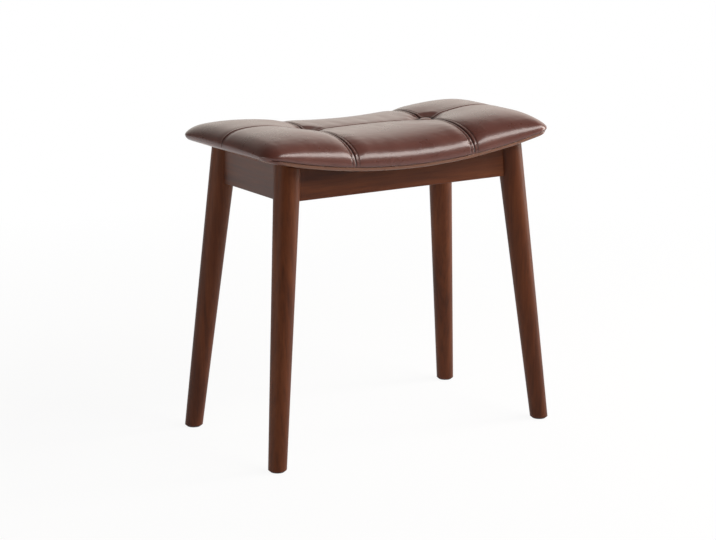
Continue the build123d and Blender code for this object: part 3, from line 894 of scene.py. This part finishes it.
def covered_button(name, sx):
    """One button, turned on the line of its tuft and sunk into the leather round it."""
    axis = Vector((-sx * seam_x, 0, seat_low.z + curve_radius - button_seat_height)).normalized()
    side = Vector((0, 1, 0))
    front = axis.cross(side)
    solid_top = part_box(f"tuft_button_{name}")[1][2]
    underside = Vector((sx * seam_x, 0, solid_top - button_rise - button_sinking))

    def on_button(along, a, b):
        return underside + axis * along + side * a + front * b

    points, faces = lathe(button_rings, button_facets, on_button)
    button = piece(f"covered_button_{name}", points, faces, leather, "oxblood_leather", crease=70)
    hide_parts(f"tuft_button_{name}")


covered_button("left", -1)
covered_button("right", 1)
twine = twisted("waxed_twine", 0.6, 420, 2, (0.30, 0.23, 0.14), (0.52, 0.43, 0.30))
for name in ("left", "right"):
    dress(f"tufting_twine_{name}", twine)
    dress(f"twine_anchor_{name}", nylon)


# Dust cover: thin black spun cloth, stretched over the underside of the board and the turned-in
# leather, and stapled all round. The seat bolts pass through it.
cloth_half = (0.216, 0.1025)
cloth_clip = 0.014
cloth_gap = 0.0004
cloth_slack = 0.00012
cloth_steps = (72, 36)
cloth_x = np.linspace(-cloth_half[0], cloth_half[0], cloth_steps[0] + 1)
cloth_points = []
for x in cloth_x:
    reach = cloth_half[1] - max(abs(x) - (cloth_half[0] - cloth_clip), 0)
    for share in np.linspace(-1, 1, cloth_steps[1] + 1):
        y = share * reach
        slack = cloth_slack * (1 + float(ripples(np.float64(x), np.float64(y), 0.05, 19)))
        cloth_points.append((x, y, float(edge_height(x)) - cloth_gap - slack))
row = cloth_steps[1] + 1
cloth_faces = [
    (i * row + j, i * row + j + 1, (i + 1) * row + j + 1, (i + 1) * row + j)
    for i in range(cloth_steps[0])
    for j in range(cloth_steps[1])
]
cloth = material_named("dust_cloth", 0.9, sheen_weight=0.3)
web = noise(cloth, object_place(cloth), 900, 4)
set_colour(cloth, ramp(cloth, web, (0.35, (0.010,) * 3), (0.65, (0.030,) * 3)))
set_bump(cloth, web, 0.4, 0.0002)
dust_cloth = piece("dust_cloth", cloth_points, cloth_faces, cloth, "dust_cloth")
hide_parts("dust_cover")


# Staples: flat zinc-plated wire crowns, driven up through the dust cover and the turned-in leather
# into the board, one every few centimetres along all four edges.
staple_spacing = 0.034
staple_length = 0.0100
staple_width = 0.0009
staple_height = 0.0007
staple_inset = 0.005
staple_depth = 0.00052
staple_x = cloth_half[0] - staple_inset
staple_y = cloth_half[1] - staple_inset


def under_cloth(x, y):
    """Points of the dust cover's underside and the downward directions square to the seat's curve."""
    from_centre = edge_height(x) - seat_low.z - curve_radius
    below = np.column_stack([x, np.zeros(len(x)), from_centre])
    below /= np.linalg.norm(below, axis=1, keepdims=True)
    return np.column_stack([x, y, edge_height(x) - staple_depth]), below


edge_points = (80, 40)
long_edge = np.linspace(cloth_clip - staple_x, staple_x - cloth_clip, edge_points[0])
short_edge = np.linspace(cloth_clip - staple_y, staple_y - cloth_clip, edge_points[1])
staple_lines = []
for turn in (-1, 1):
    staple_lines.append(under_cloth(long_edge, np.full(len(long_edge), turn * staple_y)))
    staple_lines.append(under_cloth(np.full(len(short_edge), turn * staple_x), short_edge))
loops(
    "dust_cloth_staples",
    path_mesh("staple_paths", staple_lines),
    zinc,
    "zinc_plated_steel",
    spacing=staple_spacing,
    length=staple_length,
    width=staple_width,
    height=staple_height,
)


# The floor: a wide pale sheet under the studio's light. To the lens and in reflections it is white,
# and it keeps a soft share of the stool's shadow near the feet.
floor_half = 20.0
shadow_share = 0.08
shadow_near = 0.6
shadow_far = 1.6
floor_corners = [(sx * floor_half, sy * floor_half, 0) for sx, sy in ((-1, -1), (1, -1), (1, 1), (-1, 1))]
floor_mesh = bpy.data.meshes.new("floor")
floor_mesh.from_pydata(floor_corners, [], [(0, 1, 2, 3)])
floor = bpy.data.objects.new("floor", floor_mesh)
scene.collection.objects.link(floor)


def worked_out(material, operation, first, second):
    """Result of a sum, product or the like of two values."""
    node = add_node(material, "ShaderNodeMath", {"operation": operation})
    connect(material.node_tree, first, node.inputs[0])
    connect(material.node_tree, second, node.inputs[1])
    return node.outputs["Value"]


pale = material_named("pale_floor", 0.9)
dust = noise(pale, object_place(pale), 3, 2)
set_colour(pale, ramp(pale, dust, (0, (0.90,) * 3), (1, (0.92,) * 3)))
rays = add_node(pale, "ShaderNodeLightPath").outputs
seen_or_mirrored = worked_out(pale, "MAXIMUM", rays["Is Camera Ray"], rays["Is Glossy Ray"])
shown_white = worked_out(pale, "MAXIMUM", seen_or_mirrored, rays["Is Transmission Ray"])
from_stool = add_node(pale, "ShaderNodeVectorMath", {"operation": "LENGTH"}, Vector=object_place(pale))
unshadowed = add_node(
    pale,
    "ShaderNodeMapRange",
    Value=from_stool.outputs["Value"],
    From_Min=shadow_near,
    From_Max=shadow_far,
    To_Min=1 - shadow_share,
    To_Max=1.0,
)
white_share = worked_out(pale, "MULTIPLY", shown_white, unshadowed.outputs["Result"])
white = add_node(pale, "ShaderNodeEmission", Color=(1, 1, 1, 1), Strength=1.0).outputs["Emission"]
shaded = shader_of(pale).outputs["BSDF"]
blend = add_node(pale, "ShaderNodeMixShader")
for number, value in enumerate((white_share, shaded, white)):
    connect(pale.node_tree, value, blend.inputs[number])
pale_output = pale.node_tree.nodes["Material Output"]
connect(pale.node_tree, blend.outputs["Shader"], pale_output.inputs["Surface"])
floor_mesh.materials.append(pale)


# The studio: a bright horizon behind the stool, dimmer in front and to the left, under a dark
# ceiling, with a large soft light above the front right, a tall one at the right end and a weak
# fill from the left.
world = bpy.data.worlds.new("studio")
world.use_nodes = True
scene.world = world
direction = add_node(world, "ShaderNodeTexCoord").outputs["Generated"]
axes = add_node(world, "ShaderNodeSeparateXYZ", Vector=direction)
sky = ramp(
    world,
    axes.outputs["Z"],
    (0.0, (0.66, 0.615, 0.565)),
    (0.20, (0.93, 0.87, 0.80)),
    (0.50, (0.95, 0.89, 0.81)),
    (0.74, (0.16, 0.152, 0.143)),
    (1.0, (0.08, 0.08, 0.08)),
)


def brighter_towards(value, reach, low, high):
    """Share that rises from low to high as a direction turns from -reach to reach."""
    limits = {"From_Min": -reach, "From_Max": reach, "To_Min": low, "To_Max": high}
    return add_node(world, "ShaderNodeMapRange", Value=value, **limits).outputs["Result"]


behind = brighter_towards(axes.outputs["Y"], 0.4, 0.25, 1.0)
rightward = brighter_towards(axes.outputs["X"], 0.3, 0.25, 1.45)
background = world.node_tree.nodes["Background"]
connect(world.node_tree, sky, background.inputs["Color"])
strength = worked_out(world, "MULTIPLY", behind, rightward)
connect(world.node_tree, strength, background.inputs["Strength"])


def soft_light(name, place, target, size, watts, colour):
    """Rectangular soft light at a place, turned to a target."""
    lamp = bpy.data.lights.new(name, "AREA")
    lamp.shape = "RECTANGLE"
    lamp.size, lamp.size_y = size
    lamp.energy = watts
    lamp.color = colour
    light = bpy.data.objects.new(name, lamp)
    light.location = place
    light.rotation_euler = (Vector(target) - Vector(place)).to_track_quat("-Z", "Y").to_euler()
    scene.collection.objects.link(light)


seat_middle = (0, 0, 0.42)
soft_light("front_softbox", (1.35, -1.45, 2.0), seat_middle, (2.4, 0.8), 59, (1, 0.955, 0.92))
soft_light("right_strip", (2.4, -0.6, 0.9), (0, 0, 0.3), (0.7, 1.6), 42, (1, 0.93, 0.86))
soft_light("left_fill", (-2.6, 0.2, 0.6), seat_middle, (1.6, 1.2), 12, (1, 0.97, 0.92))
